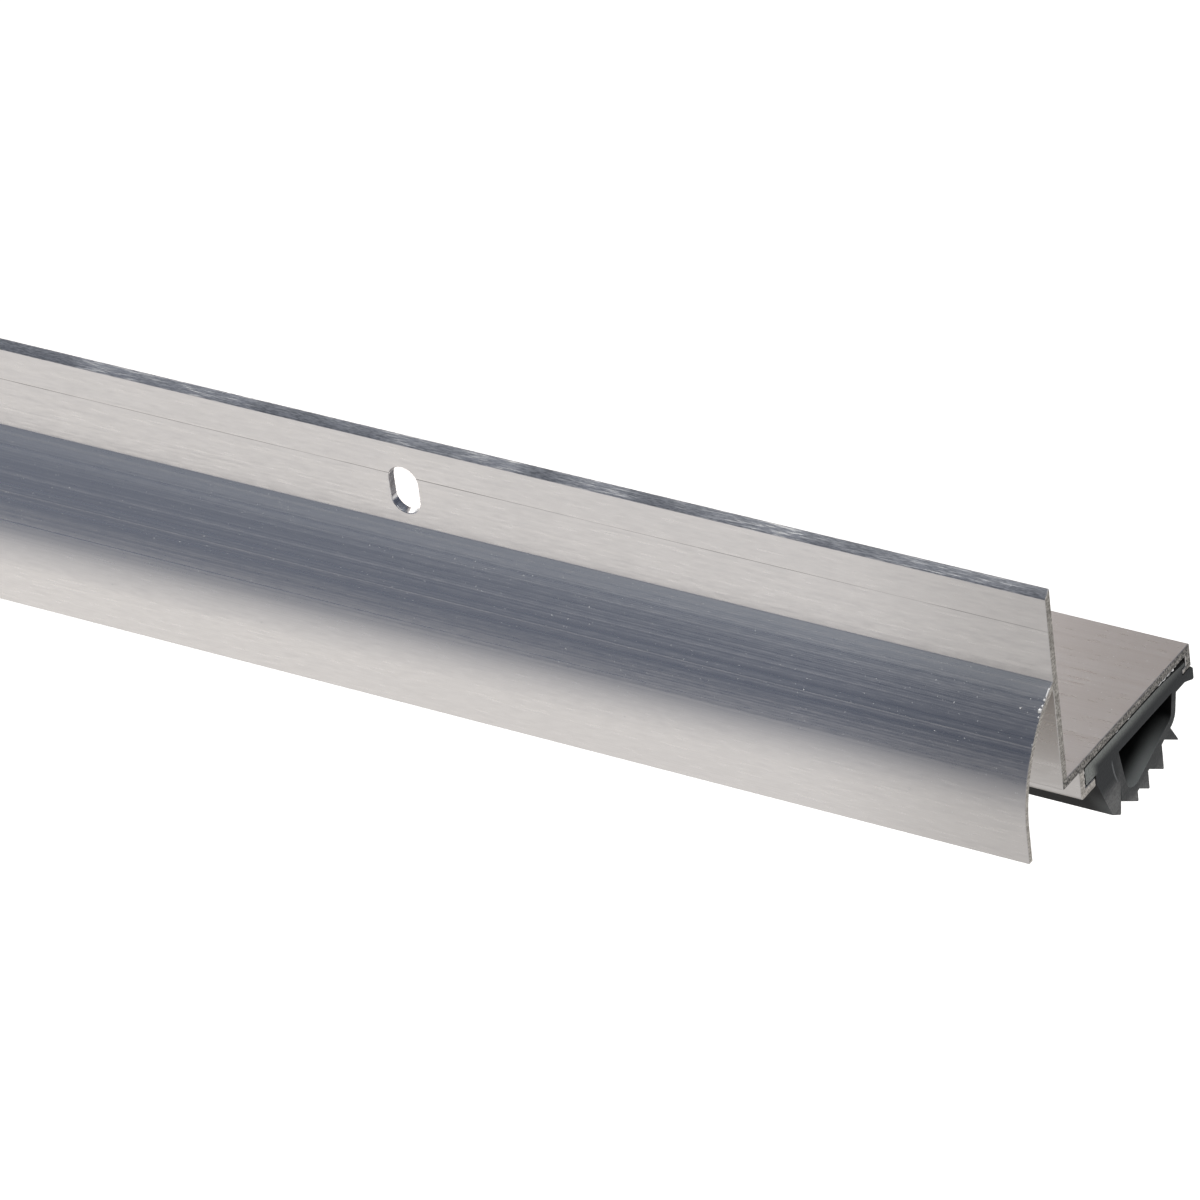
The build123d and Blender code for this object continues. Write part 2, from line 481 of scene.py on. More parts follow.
@dataclass(frozen=True)
class ExtrudedVinyl:
    """Flexible PVC, extruded: satin, nearly black, with faint lines along the length and a little dust.

    Low on the fin, the last few millimetres at both cut ends are painted lighter grey, as painted light
    that comes in round the ends.
    """

    name: str = "pvc_flexible_extruded"
    dark: str = "#1f1f1f"
    dusty: str = "#3a3a39"
    # The grey of the painted light near the cut ends, low on the fin
    end_light: str = "#666969"
    line_size: Size = (400.0, 0.3, 0.3)
    line_height: float = 0.01
    dust_size: Size = (9.0, 4.0, 4.0)
    dust_span: Span = (0.42, 0.75)
    end_light_reach: float = 4.0
    end_light_levels: Span = (-9.0, -14.0)
    coarse_span: Span = (0.3, 0.7)
    smooth: float = 0.45
    rough: float = 0.65
    sheen_level: float = 0.2
    ior: float = 1.53

    def build(self) -> bpy.types.Material:
        """Builds the material."""
        material, tree = new_material(self.name)
        lines = mottle(tree, self.line_size)
        dust = mottle(tree, self.dust_size, 4.0, 3.0)
        share = add_node(tree, "MapRange", (dust, *self.dust_span))
        # Painted light: the low fin grows grey towards both cut ends
        ends, low = at_ends(tree, self.end_light_reach), fade(tree, "Z", *self.end_light_levels)
        end_light = add_node(tree, "Math", (ends, low), operation="MULTIPLY")
        colour = layered(tree, self.dark, ((share, self.dusty), (end_light, self.end_light)))
        coarse = add_node(tree, "MapRange", (dust, *self.coarse_span, self.smooth, self.rough))
        sockets = {
            "Base Color": colour,
            "Roughness": coarse,
            "IOR": self.ior,
            "Specular IOR Level": self.sheen_level,
        }
        shade(tree, sockets, [(lines, self.line_height)])
        return material


# The bulb's inside, where no dust gets; its darker vinyl is painted shade in the hollow
BULB_INSIDE_SHADED = ExtrudedVinyl(name="pvc_flexible_bulb_inside_shaded", dark="#080808", dusty="#0c0c0c")


@dataclass(frozen=True)
class SawnVinyl:
    """The seal's cut ends: the blade drags the soft PVC and leaves it matt.

    The eye sees a pale edge on the tongue. The rest of the cut face is painted nearly black beside the
    hook, as painted shade under the lip, and mid grey lower on the fin and the teeth, as painted light.
    A fine light curve where the fin meets the bulb is a painted highlight on the edge of a step.
    """

    name: str = "pvc_flexible_saw_cut"
    # Tones of the cut face: dark beside the hook is painted shade, and middle, lower on the fin and the
    # teeth, is painted light
    dark: str = "#1a1c1c"
    middle: str = "#686867"
    tongue: str = "#7e817e"
    # The colour of the painted highlight on the weld's step
    weld_highlight: str = "#606263"
    smear_size: Size = (1.0, 3.2, 1.1)
    smear_span: Span = (0.35, 0.65)
    smear_shares: Span = (0.7, 1.3)
    grain_size: Size = (0.4, 0.4, 0.4)
    grain_span: Span = (0.3, 0.7)
    grain_shades: Span = (0.75, 1.25)
    tongue_levels: Span = (-4.2, -1.9)
    tongue_places: Span = (40.0, 14.0)
    tongue_least: float = 0.45
    tongue_front: Span = (9.8, 7.2)
    tongue_under: Span = (-5.5, -5.1)
    # Painted light: between these levels and places the cut face turns from dark to mid grey downwards, on
    # the fin and on the teeth
    fin_levels: Span = (-9.0, -13.0)
    teeth_places: Span = (14.6, 16.8)
    tooth_levels: Span = (-14.5, -18.0)
    tooth_least: float = 0.24
    bulb_levels: Span = (-4.5, -9.0)
    # A painted highlight: a light curve on the edge of the step where the fin meets the bulb, the weld
    weld_top: float = -4.9
    weld_width: float = 0.36
    weld_levels: tuple[Span, ...] = ((-12.4, -9.0), (-5.4, -7.0))
    # The weld's place from front to back, as a constant, a lean and a curve of the height
    weld_curve: tuple[float, float, float] = (13.98, -0.034, 0.0423)
    roughness: float = 0.7
    ior: float = 1.53
    mark_height: float = 0.05

    def weld_highlight_mark(self, tree: bpy.types.NodeTree) -> bpy.types.NodeSocket:
        """Adds a value that is 1 on the weld's painted highlight and 0 elsewhere, and fades at the weld's
        ends.

        Formula: the weld lies at y = a + b * h + c * h squared, with h how far it is below its top.

        Args:
            tree: The node tree.

        Returns:
            The value.
        """
        height = add_node(tree, "Math", (along(tree, "Z"), -1 / MM, self.weld_top), operation="MULTIPLY_ADD")
        place, lean, curve = self.weld_curve
        line = add_node(tree, "Math", (height, curve, lean), operation="MULTIPLY_ADD")
        line = add_node(tree, "Math", (line, height, place), operation="MULTIPLY_ADD")
        across = add_node(tree, "Math", (along(tree, "Y"), 1 / MM), operation="MULTIPLY")
        mark = add_node(tree, "Math", (across, line, self.weld_width / 2), operation="COMPARE")
        for levels in self.weld_levels:
            mark = add_node(tree, "Math", (mark, fade(tree, "Z", *levels)), operation="MULTIPLY")
        return mark

    def build(self) -> bpy.types.Material:
        """Builds the material."""
        material, tree = new_material(self.name)
        smears = mottle(tree, self.smear_size, 3.0)
        grain = mottle(tree, self.grain_size, shift=6.0)
        # Painted light and shade: mid grey lower on the fin and the teeth, dark above beside the hook
        fin, lower = fade(tree, "Z", *self.fin_levels), fade(tree, "Z", *self.tooth_levels)
        tooth = add_node(tree, "MapRange", {0: lower, 3: self.tooth_least, 4: 1.0})
        bulb = fade(tree, "Z", *self.bulb_levels)
        tooth = add_node(tree, "Math", (tooth, bulb), operation="MULTIPLY")
        rear = fade(tree, "Y", *self.teeth_places)
        lit = add_node(tree, "Mix", {0: rear, 2: fin, 3: tooth}, data_type="FLOAT")
        smeared = add_node(tree, "MapRange", (smears, *self.smear_span, *self.smear_shares))
        lit = add_node(tree, "Math", (lit, smeared), operation="MULTIPLY")

        along_tongue, upper = fade(tree, "Y", *self.tongue_places), fade(tree, "Z", *self.tongue_levels)
        hard = add_node(tree, "MapRange", {0: along_tongue, 3: self.tongue_least, 4: 1.0})
        hard = add_node(tree, "Math", (hard, upper), operation="MULTIPLY")
        front = (fade(tree, "Y", *self.tongue_front), fade(tree, "Z", *self.tongue_under))
        front = add_node(tree, "Math", front, operation="MULTIPLY")
        hard = add_node(tree, "Math", (hard, front), operation="MAXIMUM")

        layers = ((lit, self.middle), (hard, self.tongue), (self.weld_highlight_mark(tree), self.weld_highlight))
        colour = layered(tree, self.dark, layers)
        shaded = add_node(tree, "MapRange", (grain, *self.grain_span, *self.grain_shades))
        colour = add_node(tree, "VectorMath", {0: colour, "Scale": shaded}, operation="SCALE")
        sockets = {"Base Color": colour, "Roughness": self.roughness, "IOR": self.ior}
        shade(tree, sockets, [(smears, self.mark_height), (grain, self.mark_height)])
        return material


def arc(centre: Point, radius: float, start: float, end: float, steps: int) -> np.ndarray:
    """Places points evenly along an arc.

    Formula: centre plus radius times the cosine and sine of an angle that runs from start to end.

    Args:
        centre: The arc's centre, as Y and Z.
        radius: The arc's radius.
        start: The first angle, in degrees from +Y towards +Z.
        end: The last angle, in degrees.
        steps: How many runs the arc has.

    Returns:
        An array of steps + 1 rows of Y and Z.
    """
    angle = np.radians(np.linspace(start, end, steps + 1))
    return np.array(centre) + radius * np.stack([np.cos(angle), np.sin(angle)], axis=1)


def rounded(corners: Sequence[Corner], steps: int = 5) -> np.ndarray:
    """Rounds the corners of a closed outline.

    Formula: each arc's centre lies on the corner's bisector, radius over the sine of half its angle away.

    Args:
        corners: Y, Z and radius of each corner, with the material on the left of the way round.
        steps: How many runs each rounded corner has.

    Returns:
        The outline's points, as rows of Y and Z.
    """
    places = np.array([corner[:2] for corner in corners])
    points = []
    for here, before, after, corner in zip(
        places, np.roll(places, 1, axis=0), np.roll(places, -1, axis=0), corners
    ):
        radius = corner[2]
        back = (before - here) / np.linalg.norm(before - here)
        on = (after - here) / np.linalg.norm(after - here)
        half = math.acos(float(np.clip(back @ on, -1, 1))) / 2
        if radius <= 0 or half > FLAT_HALF:
            points.append(here[None])
            continue
        middle = (back + on) / np.linalg.norm(back + on)
        centre = here + middle * radius / math.sin(half)
        first = here + back * radius / math.tan(half) - centre
        last = here + on * radius / math.tan(half) - centre
        start = math.degrees(math.atan2(first[1], first[0]))
        turn = (math.degrees(math.atan2(last[1], last[0])) - start + 180) % 360 - 180
        points.append(arc(tuple(centre), radius, start, start + turn, steps))
    return np.concatenate(points)


def inset(outline: np.ndarray, depth: float) -> np.ndarray:
    """Moves a closed outline into its material.

    Formula: each point moves against the sum of its two runs' normals, over one plus their dot product.

    Args:
        outline: Rows of Y and Z, with the material on the left of the way round.
        depth: How far each run moves.

    Returns:
        The moved outline.
    """
    run = np.roll(outline, -1, axis=0) - outline
    run = run / np.linalg.norm(run, axis=1, keepdims=True)
    normal = np.stack([run[:, 1], -run[:, 0]], axis=1)
    before = np.roll(normal, 1, axis=0)
    blend = (normal + before) / (1 + np.sum(normal * before, axis=1, keepdims=True))
    return outline - depth * blend


def ring_quads(rings: int, count: int) -> np.ndarray:
    """Joins neighbouring closed rings of points with quads.

    Formula: point j of ring i has the number i * count + j, and joins points j and j + 1 of rings i
    and i + 1.

    Args:
        rings: How many rings there are.
        count: How many points each ring has.

    Returns:
        Rows of four vertex numbers, ring by ring.
    """
    ring, place = np.meshgrid(np.arange(rings - 1), np.arange(count), indexing="ij")
    after = (place + 1) % count
    here, there = ring * count, (ring + 1) * count
    return np.stack([here + place, here + after, there + after, there + place], axis=-1).reshape(-1, 4)


def carried(outline: np.ndarray, stations: np.ndarray, chamfer: float) -> tuple[np.ndarray, np.ndarray]:
    """Carries a closed outline along X, with a small chamfer at both ends.

    Formula: point (i, j) has the i-th station as X and the outline's j-th point as Y and Z; the first
    and last rings are inset by the chamfer.

    Args:
        outline: Rows of Y and Z in millimetres.
        stations: Places along X in millimetres, in rising order, the ends' chamfers included.
        chamfer: The chamfer's width in millimetres.

    Returns:
        The vertices in metres, and the quads between neighbouring rings.
    """
    grid = np.empty((len(stations), len(outline), 3))
    grid[:, :, 0] = stations[:, None]
    grid[:, :, 1:] = outline
    grid[0, :, 1:] = grid[-1, :, 1:] = inset(outline, chamfer)
    return grid.reshape(-1, 3) * MM, ring_quads(len(stations), len(outline))


def stations_between(left: float, right: float, chamfer: float, step: float) -> np.ndarray:
    """Places the rings of a carried outline: one at each end, and the rest evenly between the chamfers.

    Args:
        left: The left end, in millimetres.
        right: The right end.
        chamfer: The ends' chamfer.
        step: About how far the rings between are apart.

    Returns:
        Places along X, in rising order.
    """
    count = int((right - left) / step) + 1
    inner = np.linspace(left + chamfer, right - chamfer, count)
    return np.concatenate([[left], inner, [right]])


def close_ends(mesh: bpy.types.Mesh, end_slot: int) -> None:
    """Fills a carried mesh's two open ends, round any hollow, and turns every face outwards.

    Args:
        mesh: The mesh.
        end_slot: The material slot of the new faces.
    """
    shell = bmesh.new()
    shell.from_mesh(mesh)
    rims = [edge for edge in shell.edges if edge.is_boundary]
    for side in (-1, 1):
        rim = [edge for edge in rims if edge.verts[0].co.x * side > 0]
        filled = bmesh.ops.triangle_fill(shell, use_beauty=True, edges=rim, normal=(side, 0, 0))
        for face in filled["geom"]:
            if isinstance(face, bmesh.types.BMFace):
                face.material_index = end_slot
    bmesh.ops.recalc_face_normals(shell, faces=shell.faces)
    shell.to_mesh(mesh)
    shell.free()


def turn_outwards(mesh: bpy.types.Mesh, merge: float = 0.0) -> None:
    """Turns every face of a closed mesh outwards.

    Args:
        mesh: The mesh.
        merge: Points that are nearer to each other than this, in metres, are merged first.
    """
    shell = bmesh.new()
    shell.from_mesh(mesh)
    if merge > 0:
        bmesh.ops.remove_doubles(shell, verts=shell.verts, dist=merge)
    bmesh.ops.recalc_face_normals(shell, faces=shell.faces)
    shell.to_mesh(mesh)
    shell.free()


def smooth(mesh: bpy.types.Mesh) -> None:
    """Shades a mesh smooth, apart from its sharp edges."""
    mesh.polygons.foreach_set("use_smooth", np.ones(len(mesh.polygons), dtype=bool))
    mesh.set_sharp_from_angle(angle=SHARP_ANGLE)


def new_mesh(name: str, vertices: np.ndarray, faces: Sequence[Sequence[int]]) -> bpy.types.Mesh:
    """Makes a mesh from arrays.

    Args:
        name: The mesh's name.
        vertices: Rows of X, Y and Z in metres.
        faces: Each face's vertex numbers.

    Returns:
        The mesh.
    """
    mesh = bpy.data.meshes.new(name)
    mesh.from_pydata(vertices, [], faces)
    mesh.update()
    return mesh


def new_object(name: str, data: bpy.types.ID) -> bpy.types.Object:
    """Makes an object of a mesh, a lamp or a camera, and puts it into the scene.

    Args:
        name: The object's name.
        data: Its mesh, lamp or camera.

    Returns:
        The object.
    """
    made = bpy.data.objects.new(name, data)
    bpy.context.scene.collection.objects.link(made)
    return made


def new_piece(name: str, mesh: bpy.types.Mesh, materials: Sequence[bpy.types.Material]) -> bpy.types.Object:
    """Makes an object of a mesh, at the origin.

    Args:
        name: The piece's name.
        mesh: Its mesh, in the frame's metres.
        materials: Its materials, in the order of their slots.

    Returns:
        The object.
    """
    for material in materials:
        mesh.materials.append(material)
    return new_object(name, mesh)


class RailSlot(Enum):
    """The rail's material slots."""

    DRAWN = 0
    BEVEL = 1
    SAWN = 2
    PUNCHED = 3


@dataclass
class Rail:
    """The aluminium rail: one section carried along X, with slots punched through its leg."""

    leg_height: float = 36.5
    leg_thickness: float = 1.6
    leg_bevel: float = 1.3
    # How far below the bevel its lower rounding still counts as scraped
    bevel_rounding: float = 0.1
    flange_depth: float = 41.3
    flange_thickness: float = 1.6
    rear_wall_thickness: float = 1.6
    rear_wall_drop: float = 2.8
    toe_reach: float = 1.1
    toe_thickness: float = 0.8
    hook_setback: float = 3.6
    hook_thickness: float = 1.6
    hook_drop: float = 5.5
    lip_reach: float = 3.2
    lip_thickness: float = 1.6
    hook_radius: float = 0.8
    cap_top: float = 19.5
    cap_reach: float = 12.2
    cap_radius: float = 24.5
    cap_bottom: float = 8.0
    cap_thickness: float = 1.1
    # Tighter than the solid's, because the photographed corner mirrors no dark line
    cap_root_radius: float = 0.1
    cap_root_inner_radius: float = 0.3
    corner_radius: float = 0.3
    crest_radius: float = 0.12
    skirt_radius: float = 0.12
    slot_width: float = 5.7
    slot_height: float = 8.9
    slot_below_top: float = 10.3
    slot_end_distance: float = 122.0
    slot_count: int = 4
    slot_rim: float = 0.12
    # How soon the rim's flare goes over into the slot's wall
    rim_power: float = 1.5
    punch_overshoot: float = 1.0
    end_chamfer: float = 0.08
    station_step: float = 20.0
    cap_steps: int = 72
    root_steps: int = 6
    slot_steps: int = 64
    rim_steps: int = 6

    def __post_init__(self) -> None:
        """Takes the ends from the frame, and works out the track's faces, which the seal shares."""
        low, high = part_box("aluminium_rail")
        self.left, self.right = low.x / MM, high.x / MM
        self.front, self.under = -self.leg_thickness, -self.flange_thickness
        self.hook_back = self.hook_setback + self.hook_thickness
        self.hook_under = self.under - self.hook_drop
        self.lip_top, self.lip_end = self.hook_under + self.lip_thickness, self.hook_back + self.lip_reach
        self.wall = self.flange_depth - self.rear_wall_thickness
        self.wall_under = self.under - self.rear_wall_drop
        self.toe, self.toe_top = self.wall - self.toe_reach, self.wall_under + self.toe_thickness

    def cap_centre(self) -> Point:
        """The centre of the drip cap's arc, which puts the skirt cap_reach in front of the leg."""
        centre_y = self.front - self.cap_reach + self.cap_radius
        return centre_y, self.cap_top - math.sqrt(self.cap_radius**2 - (centre_y - self.front) ** 2)

    def cap_arcs(self) -> tuple[np.ndarray, np.ndarray]:
        """Works out the drip cap's outer and inner lines, root fillets included.

        Formula: each line is a circle round the cap's centre, joined to the leg by a small circle that
        touches both the leg's face and the large circle.

        Returns:
            The outer line from the leg down to the skirt, and the inner line from the skirt up to the leg.
        """
        centre_y, centre_z = self.cap_centre()
        inner_radius = self.cap_radius - self.cap_thickness
        lines = []
        for radius, small, joined in (
            (self.cap_radius, self.cap_root_radius, self.cap_radius + self.cap_root_radius),
            (inner_radius, self.cap_root_inner_radius, inner_radius - self.cap_root_inner_radius),
        ):
            rise = math.sqrt(joined**2 - (centre_y - self.front + small) ** 2)
            root = (self.front - small, centre_z + rise)
            touch = math.degrees(math.atan2(root[1] - centre_z, root[0] - centre_y))
            outer = radius == self.cap_radius
            fillet = arc(root, small, 0, touch - 180 if outer else touch, self.root_steps)
            large = arc((centre_y, centre_z), radius, touch, 180, self.cap_steps)
            lines.append(np.concatenate([fillet, large[1:]]))
        return lines[0], lines[1][::-1]

    def outline(self) -> np.ndarray:
        """Works out the whole section as one closed outline, from the leg's crest down its front."""
        skirt, cap_end, radius = self.front - self.cap_reach, -self.cap_bottom, self.corner_radius
        outer, inner = self.cap_arcs()
        corners: list[Corner] = [
            (0, self.leg_height, self.crest_radius),
            (self.front, self.leg_height - self.leg_bevel, radius),
            (*outer[0], 0),
            (*outer[-1], 0),
            (skirt, cap_end, self.skirt_radius),
            (skirt + self.cap_thickness, cap_end, self.skirt_radius),
            (*inner[0], 0),
            (*inner[-1], 0),
            (self.front, self.under, radius),
            (self.hook_setback, self.under, 0),
            (self.hook_setback, self.hook_under, self.hook_radius),
            (self.lip_end, self.hook_under, radius),
            (self.lip_end, self.lip_top, radius),
            (self.hook_back, self.lip_top, 0),
            (self.hook_back, self.under, 0),
            (self.wall, self.under, 0),
            (self.wall, self.toe_top, 0),
            (self.toe, self.toe_top, 0),
            (self.toe, self.wall_under, 0),
            (self.flange_depth, self.wall_under, radius),
            (self.flange_depth, 0, radius),
            (0, 0, 0),
        ]
        points = rounded(corners)
        # Each line of the cap has its first and last point among the corners, and takes their place
        for line in (outer, inner):
            start = int(np.argmin(np.linalg.norm(points - line[0], axis=1)))
            points = np.concatenate([points[:start], line, points[start + 2 :]])
        return points

    def cutter(self, centre_x: float) -> bpy.types.Object:
        """Makes the solid that one slot's punch takes out, flared at the front like the rolled rim.

        Formula: each ring is a stadium in X and Z. Along the rim its depth is the rim's width times the
        sine of a quarter turn, and it is grown by that width times a power of one minus the sine.

        Args:
            centre_x: The slot's middle along X.

        Returns:
            The cutter.
        """
        half, rise = self.slot_width / 2, (self.slot_height - self.slot_width) / 2
        around = np.linspace(0, 2 * np.pi, self.slot_steps, endpoint=False)
        lift = np.where(np.sin(around) >= 0, rise, -rise)
        sine = np.sin(np.linspace(0, np.pi / 2, self.rim_steps))
        rim_depth = self.front + self.slot_rim * sine
        depth = np.concatenate([[self.front - self.punch_overshoot], rim_depth, [self.punch_overshoot]])
        grown = np.concatenate([[self.slot_rim], self.slot_rim * (1 - sine) ** self.rim_power, [0.0]])
        radius = half + grown[:, None]
        rings, count = len(depth), len(around)
        grid = np.empty((rings, count, 3))
        grid[:, :, 0] = centre_x + radius * np.cos(around)
        grid[:, :, 1] = depth[:, None]
        grid[:, :, 2] = self.leg_height - self.slot_below_top + radius * np.sin(around) + lift
        ends = [list(range(count)), list(range((rings - 1) * count, rings * count))]
        mesh = new_mesh("slot_cutter", grid.reshape(-1, 3) * MM, ring_quads(rings, count).tolist() + ends)
        turn_outwards(mesh)
        mesh.polygons.foreach_set("material_index", np.full(len(mesh.polygons), RailSlot.PUNCHED.value))
        return new_object("slot_cutter", mesh)

    def build(self) -> bpy.types.Object:
        """Builds the rail, dresses it and lets it stand for its CAD node.

        Returns:
            The piece.
        """
        outline = self.outline()
        stations = stations_between(self.left, self.right, self.end_chamfer, self.station_step)
        vertices, quads = carried(outline, stations, self.end_chamfer)
        mesh = new_mesh("aluminium_rail_dressed", vertices, quads)
        # The bevel is where the outline runs down and outdoors near the leg's top, its roundings too
        after = np.roll(outline, -1, axis=0)
        middle, slope = (outline + after) / 2, after - outline
        near_top = middle[:, 1] > self.leg_height - self.leg_bevel - self.bevel_rounding
        slots = np.where(near_top & (slope < 0).all(axis=1), RailSlot.BEVEL.value, RailSlot.DRAWN.value)
        mesh.polygons.foreach_set("material_index", np.tile(slots, len(stations) - 1))
        close_ends(mesh, RailSlot.SAWN.value)
        finishes = [MillAluminium(), ScrapedAluminium(), SawnAluminium(), TornAluminium()]
        piece = new_piece("rail_dressed", mesh, [finish.build() for finish in finishes])
        self.punch(piece)
        smooth(piece.data)
        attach(piece, BODY)
        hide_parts("aluminium_rail")
        return piece

    def punch(self, piece: bpy.types.Object) -> None:
        """Takes the slots out of the leg.

        Args:
            piece: The rail.
        """
        first, last = self.left + self.slot_end_distance, self.right - self.slot_end_distance
        cutters = [self.cutter(float(x)) for x in np.linspace(first, last, self.slot_count)]
        for cutter in cutters:
            for material in piece.data.materials:
                cutter.data.materials.append(material)
            boolean = piece.modifiers.new("slot", "BOOLEAN")
            boolean.operation, boolean.solver, boolean.object = "DIFFERENCE", "EXACT", cutter
            boolean.material_mode = "INDEX"
        dressed = piece.evaluated_get(bpy.context.evaluated_depsgraph_get())
        cut = bpy.data.meshes.new_from_object(dressed)
        piece.modifiers.clear()
        piece.data = cut
        for cutter in cutters:
            bpy.data.objects.remove(cutter)


class SealSlot(Enum):
    """The seal's material slots."""

    EXTRUDED = 0
    SAWN = 1
    HOLLOW = 2


@dataclass
class Seal:
    """The vinyl seal: tongue, hollow bulb, saw teeth, front fin and tail, carried along X."""

    rail: Rail
    track_clearance: float = 0.25
    relief_run: float = 9.5
    relief_depth: float = 0.7
    bulb_setback: float = 6.0
    bulb_rear_gap: float = 3.3
    bulb_roof: float = 3.75
    bulb_wall: float = 1.6
    bulb_front_drop: float = 14.1
    bulb_rear_drop: float = 6.95
    bulb_lean: float = 12.0
    bulb_front_radius: float = 4.5
    bulb_rear_radius: float = 3.0
    tooth_overhang: float = 0.65
    tooth_steps: tuple[float, ...] = (5.55, 5.0, 3.8)
    tooth_heights: tuple[float, ...] = (4.9, 4.9, 3.5, 2.0)
    first_tooth_lean: float = 31.0
    tooth_angle: float = 33.0
    tooth_tip_radii: tuple[float, ...] = (0.12, 0.2, 0.2, 0.2)
    fin_setback: float = 6.75
    fin_drop: float = 12.2
    fin_tip_width: float = 2.7
    fin_tip_fall: float = 1.7
    fin_radius: float = 0.25
    crease_height: float = 5.15
    tail_thickness: float = 1.65
    tail_overhang: float = 0.6
    tail_lip_width: float = 2.9
    tail_lip_drop: float = 1.2
    soft_radius: float = 0.3
    end_chamfer: float = 0.05
    station_step: float = 20.0
    outer_steps: int = 10
    hollow_steps: int = 14

    def __post_init__(self) -> None:
        """Works out the faces that follow the rail's track, one clearance inside it."""
        rail, gap = self.rail, self.track_clearance
        self.front, self.rear = rail.hook_back + gap, rail.wall - gap
        self.top, self.under = rail.under - gap, rail.lip_top + gap
        self.fin_front = rail.lip_end + gap
        self.groove_front, self.groove_top = rail.toe - gap, rail.toe_top + gap
        self.tail_top, self.tail_end = rail.wall_under - gap, rail.flange_depth + self.tail_overhang
        self.bulb_top = self.top - self.bulb_roof + self.bulb_wall
        self.bulb_front, self.bulb_rear = rail.lip_end + self.bulb_setback, rail.wall - self.bulb_rear_gap

    def bulb_corners(self) -> list[Point]:
        """The bulb's outline before it is rounded: front top, front foot, rear foot and rear top."""
        slope = math.tan(math.radians(self.bulb_lean))
        return [
            (self.bulb_front, self.bulb_top),
            (self.bulb_front + self.bulb_front_drop * slope, self.bulb_top - self.bulb_front_drop),
            (self.bulb_rear - self.bulb_rear_drop * slope, self.bulb_top - self.bulb_rear_drop),
            (self.bulb_rear, self.bulb_top),
        ]

    def teeth(self) -> list[Corner]:
        """Works out the saw teeth, from the foremost to the rearmost, down to where they meet the bulb.

        Formula: each underside rises forward from its tip at the tooth angle until it meets the
        bulb's floor, and each rear face goes straight up; the rearmost leans forward instead.

        Returns:
            The corners between the crease and the bulb's rear.
        """
        _, front_foot, rear_foot, _ = self.bulb_corners()
        floor = (rear_foot[1] - front_foot[1]) / (rear_foot[0] - front_foot[0])
        rise = math.tan(math.radians(self.tooth_angle))

        def on_floor(y: float) -> Corner:
            """The corner where the bulb's floor, carried on, passes a place."""
            return y, rear_foot[1] + (y - rear_foot[0]) * floor, 0

        first = rear_foot[0] + self.tooth_overhang
        places = [first - sum(self.tooth_steps[:number]) for number in range(len(self.tooth_heights))]
        levels = [on_floor(y)[1] - height for y, height in zip(places, self.tooth_heights)]
        crease = self.crease()[0]
        corners: list[Corner] = [(crease, levels[-1] + (places[-1] - crease) * rise, 0)]
        corners.append((places[-1], levels[-1], self.tooth_tip_radii[-1]))
        for number in range(len(places) - 2, -1, -1):
            place, level = places[number], levels[number]
            meet = (level - rear_foot[1] + place * rise + rear_foot[0] * floor) / (rise + floor)
            corners += [on_floor(places[number + 1]), on_floor(meet)]
            corners.append((place, level, self.tooth_tip_radii[number]))
        lean = math.tan(math.radians(self.first_tooth_lean))
        climb = self.tooth_heights[0] / (1 + lean * floor)
        corners.append((places[0] - lean * climb, levels[0] + climb, 0))
        return corners

    def crease(self) -> Point:
        """The top of the crease between the fin and the foremost tooth."""
        level = self.under - self.fin_drop + self.crease_height
        return self.bulb_front + (self.bulb_top - level) * math.tan(math.radians(self.bulb_lean)), level

    def outline(self) -> np.ndarray:
        """Works out the seal's outer outline, from the tongue's top down its front."""
        _, _, rear_foot, rear_top = self.bulb_corners()
        fin_tip = (self.fin_front + self.fin_setback, self.under - self.fin_drop)
        tail_under = self.tail_top - self.tail_thickness
        slope = (rear_top[0] - rear_foot[0]) / (rear_top[1] - rear_foot[1])
        soft = self.soft_radius
        corners: list[Corner] = [
            (self.front, self.top, soft),
            (self.front, self.under, soft),
            (self.fin_front, self.under, 0),
            (self.fin_front, self.rail.hook_under, 0),
            (fin_tip[0] - self.fin_tip_width, fin_tip[1] + self.fin_tip_fall, self.fin_radius),
            (*fin_tip, self.fin_radius),
            (*self.crease(), 0),
            *self.teeth(),
            (*rear_foot, self.bulb_rear_radius),
            (rear_foot[0] + (tail_under - rear_foot[1]) * slope, tail_under, 0),
            (self.tail_end - self.tail_lip_width, tail_under, 0),
            (self.tail_end, tail_under - self.tail_lip_drop, soft),
            (self.tail_end, self.tail_top - self.tail_overhang, soft),
            (self.rail.flange_depth, self.tail_top, 0),
            (self.groove_front, self.tail_top, 0),
            (self.groove_front, self.groove_top, 0),
            (self.rear, self.groove_top, 0),
            (self.rear, self.top - self.relief_depth, 0),
            (self.rear - self.relief_run, self.top, 0),
        ]
        return rounded(corners, self.outer_steps)

    def hollow(self) -> np.ndarray:
        """Works out the bulb's hollow, one wall inside its outline, with the material on its left."""
        corners = inset(np.array(self.bulb_corners()), self.bulb_wall)
        radii = (0, self.bulb_front_radius - self.bulb_wall, self.bulb_rear_radius - self.bulb_wall, 0)
        shape = [(float(y), float(z), radius) for (y, z), radius in zip(corners, radii)]
        return rounded(shape, self.hollow_steps)[::-1]

